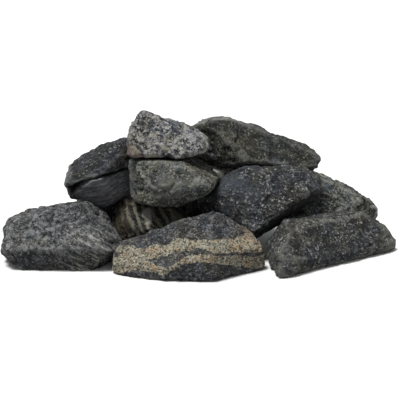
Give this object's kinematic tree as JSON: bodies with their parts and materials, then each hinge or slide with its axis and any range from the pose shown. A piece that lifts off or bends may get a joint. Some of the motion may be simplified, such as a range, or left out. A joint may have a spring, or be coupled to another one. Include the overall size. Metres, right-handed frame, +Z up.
{
  "type": "sauna stone set",
  "caption": "Loose heap of tumbled dark rocks for a sauna heater, every stone a separate piece that lifts or pulls clear of its neighbours.",
  "frame": {"origin": "on the floor, under the middle of the heap's bounding box", "axes": "+X to the heap's right seen from the front, +Y away from the front, +Z up"},
  "size_m": [0.2632, 0.1288, 0.0949],
  "materials": {
    "banded_stone": "rough, tumbled, dry",
    "front_left_stone": "rough, tumbled, dry",
    "front_centre_stone": "rough, tumbled, dry",
    "front_right_stone": "rough, tumbled, dry",
    "right_stone": "rough, tumbled, dry",
    "rear_centre_stone": "rough, tumbled, dry",
    "rear_left_stone": "rough, tumbled, dry",
    "left_upper_stone": "rough, tumbled, dry",
    "middle_left_stone": "rough, tumbled, dry",
    "centre_stone": "rough, tumbled, dry",
    "rear_middle_stone": "rough, tumbled, dry",
    "top_left_stone": "rough, tumbled, dry",
    "top_right_stone": "rough, tumbled, dry"
  },
  "bodies": {
    "banded_stone": {"banded_stone": "banded_stone"},
    "front_left_stone": {"front_left_stone": "front_left_stone"},
    "front_centre_stone": {"front_centre_stone": "front_centre_stone"},
    "front_right_stone": {"front_right_stone": "front_right_stone"},
    "right_stone": {"right_stone": "right_stone"},
    "rear_centre_stone": {"rear_centre_stone": "rear_centre_stone"},
    "rear_left_stone": {"rear_left_stone": "rear_left_stone"},
    "left_upper_stone": {"left_upper_stone": "left_upper_stone"},
    "middle_left_stone": {"middle_left_stone": "middle_left_stone"},
    "centre_stone": {"centre_stone": "centre_stone"},
    "rear_middle_stone": {"rear_middle_stone": "rear_middle_stone"},
    "top_left_stone": {"top_left_stone": "top_left_stone"},
    "top_right_stone": {"top_right_stone": "top_right_stone"}
  },
  "joints": [
    {"name": "front_left_pull", "type": "slide", "parent": "banded_stone", "child": "front_left_stone", "axis": [-0.8, -0.6, 0], "range_m": [0, 0.06]},
    {"name": "front_centre_pull", "type": "slide", "parent": "banded_stone", "child": "front_centre_stone", "axis": [0, -1, 0], "range_m": [0, 0.06]},
    {"name": "front_right_pull", "type": "slide", "parent": "banded_stone", "child": "front_right_stone", "axis": [0.6, -0.8, 0], "range_m": [0, 0.06]},
    {"name": "right_pull", "type": "slide", "parent": "banded_stone", "child": "right_stone", "axis": [0.4472, 0.8944, 0], "range_m": [0, 0.06]},
    {"name": "rear_left_pull", "type": "slide", "parent": "banded_stone", "child": "rear_left_stone", "axis": [-0.3011, 0.9536, 0], "range_m": [0, 0.06]},
    {"name": "rear_centre_pull", "type": "slide", "parent": "banded_stone", "child": "rear_centre_stone", "axis": [0, 1, 0], "range_m": [0, 0.06]},
    {"name": "rear_middle_pull", "type": "slide", "parent": "banded_stone", "child": "rear_middle_stone", "axis": [0, 1, 0], "range_m": [0, 0.05]},
    {"name": "left_upper_lift", "type": "slide", "parent": "banded_stone", "child": "left_upper_stone", "axis": [-0.6092, 0.6092, 0.5077], "range_m": [0, 0.05]},
    {"name": "centre_lift", "type": "slide", "parent": "banded_stone", "child": "centre_stone", "axis": [0, 0, 1], "range_m": [0, 0.03]},
    {"name": "middle_left_lift", "type": "slide", "parent": "centre_stone", "child": "middle_left_stone", "axis": [0, 0, 1], "range_m": [0, 0.03]},
    {"name": "top_left_lift", "type": "slide", "parent": "middle_left_stone", "child": "top_left_stone", "axis": [0, 0, 1], "range_m": [0, 0.04]},
    {"name": "top_right_lift", "type": "slide", "parent": "centre_stone", "child": "top_right_stone", "axis": [0, 0.0995, 0.995], "range_m": [0, 0.04]}
  ]
}
